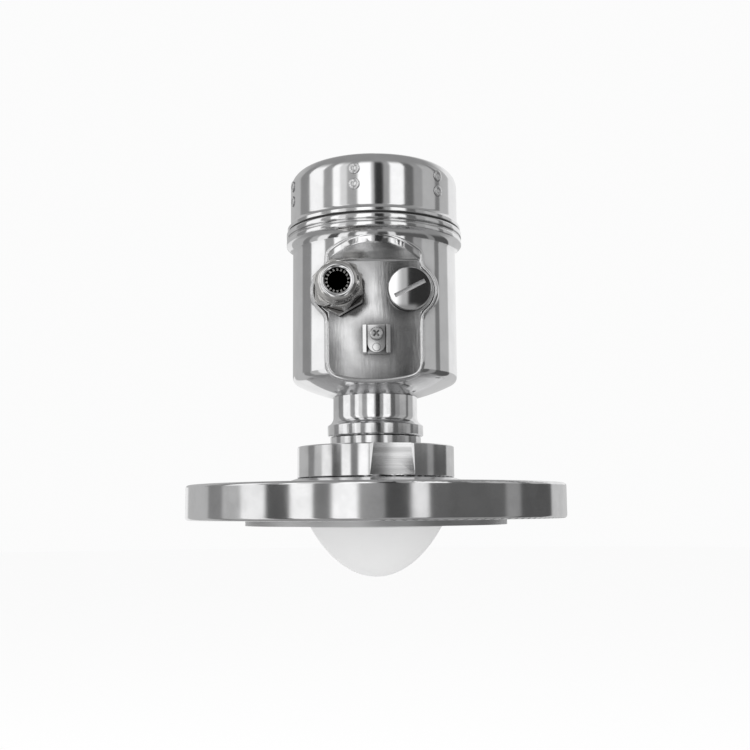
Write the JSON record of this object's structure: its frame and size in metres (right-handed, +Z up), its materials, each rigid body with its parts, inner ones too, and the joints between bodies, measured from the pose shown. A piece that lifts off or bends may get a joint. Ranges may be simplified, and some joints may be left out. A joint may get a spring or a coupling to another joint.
{
  "type": "radar level transmitter",
  "caption": "Radar level transmitter: polished pot housing with screwed lid, cable gland, blind plug and earth clamp, turning neck, bolted flange and domed lens antenna.",
  "frame": {"origin": "on the antenna's axis, in the plane of the flange plate's lower face, where its bolt holes begin", "axes": "+Z up along the antenna's axis towards the lid, -Y out of the front with the two cable entries"},
  "size_m": [0.2, 0.2, 0.2182],
  "materials": {
    "polished_steel": "electropolished to a mirror",
    "turned_steel": "finely turned",
    "small_steel": "plain",
    "nickel_plated": "nickel plated, satin",
    "ptfe": "matt white",
    "black_rubber": "matt",
    "brass": "turned",
    "module_casing": "moulded, matt",
    "terminal_green": "moulded, matt"
  },
  "bodies": {
    "process": {"process_flange": "turned_steel", "antenna_body": "polished_steel", "lens": "ptfe", "lens_seal": "black_rubber", "wave_coupler": "ptfe", "waveguide_tube": "brass", "process_adapter": "polished_steel", "rf_module": "module_casing", "rf_clamp_ring": "brass", "swivel_seals": "black_rubber", "swivel_ring": "small_steel"},
    "housing": {"housing_neck": "polished_steel", "housing_bowl": "polished_steel", "module_posts": "polished_steel", "rf_pigtail": "brass", "electronics_module": "module_casing", "module_screws": "small_steel", "terminal_header": "terminal_green", "contact_pins": "brass", "inner_earth_tab": "brass", "gland_body": "nickel_plated", "gland_oring": "black_rubber", "ground_bracket": "nickel_plated"},
    "lock_pad": {"lock_pad": "brass"},
    "set_screw": {"set_screw": "small_steel"},
    "terminal_plug": {"terminal_plug": "terminal_green"},
    "lid_seal": {"lid_seal": "black_rubber"},
    "lid": {"lid": "polished_steel"},
    "gland_cage": {"clamping_cage": "small_steel", "sealing_insert": "black_rubber"},
    "gland_cap_nut": {"gland_cap_nut": "nickel_plated"},
    "plug_oring": {"plug_oring": "black_rubber"},
    "blind_plug": {"blind_plug": "polished_steel"},
    "ground_clamp": {"clamp_plate": "small_steel", "spring_washer": "small_steel"},
    "ground_screw": {"ground_screw": "small_steel"}
  },
  "joints": [
    {"name": "housing_swivel", "type": "hinge", "parent": "process", "child": "housing", "pos_m": [0, 0, 0.0437], "axis": [0, 0, 1], "range_deg": [-175, 175]},
    {"name": "lid_lift", "type": "slide", "parent": "housing", "child": "lid_seal", "axis": [0, 0, 1], "range_m": [0, 0.01]},
    {"name": "lid_turn", "type": "hinge", "parent": "lid_seal", "child": "lid", "pos_m": [0, 0, 0.1588], "axis": [0, 0, 1], "range_deg": [0, 1800]},
    {"name": "cage_travel", "type": "slide", "parent": "housing", "child": "gland_cage", "axis": [0, -1, 0], "range_m": [0, 0.006]},
    {"name": "cap_nut_turn", "type": "hinge", "parent": "gland_cage", "child": "gland_cap_nut", "pos_m": [-0.018, -0.05, 0.11603], "axis": [0, -1, 0], "range_deg": [0, 1440]},
    {"name": "plug_travel", "type": "slide", "parent": "housing", "child": "plug_oring", "axis": [0, -1, 0], "range_m": [0, 0.009]},
    {"name": "plug_turn", "type": "hinge", "parent": "plug_oring", "child": "blind_plug", "pos_m": [0.018, -0.038, 0.11603], "axis": [0, -1, 0], "range_deg": [0, 2160]},
    {"name": "clamp_travel", "type": "slide", "parent": "housing", "child": "ground_clamp", "axis": [0, -1, 0], "range_m": [0, 0.0014]},
    {"name": "ground_screw_turn", "type": "hinge", "parent": "ground_clamp", "child": "ground_screw", "pos_m": [0.0009, -0.042, 0.09243], "axis": [0, -1, 0], "range_deg": [0, 720]},
    {"name": "lock_pad_travel", "type": "slide", "parent": "housing", "child": "lock_pad", "axis": [0, 1, 0], "range_m": [0, 0.0016]},
    {"name": "set_screw_turn", "type": "hinge", "parent": "lock_pad", "child": "set_screw", "pos_m": [0, 0.02, 0.0592], "axis": [0, 1, 0], "range_deg": [0, 720]},
    {"name": "terminal_plug_pull", "type": "slide", "parent": "housing", "child": "terminal_plug", "axis": [0, 0, 1], "range_m": [0, 0.008]}
  ],
  "couplings": [
    {"joint": "lid_lift", "follows": "lid_turn", "m_per_rad": 0.0003183},
    {"joint": "cage_travel", "follows": "cap_nut_turn", "m_per_rad": 0.0002387},
    {"joint": "plug_travel", "follows": "plug_turn", "m_per_rad": 0.0002387},
    {"joint": "ground_screw_turn", "follows": "clamp_travel", "rad_per_m": 8975.9},
    {"joint": "set_screw_turn", "follows": "lock_pad_travel", "rad_per_m": 7853.9}
  ]
}
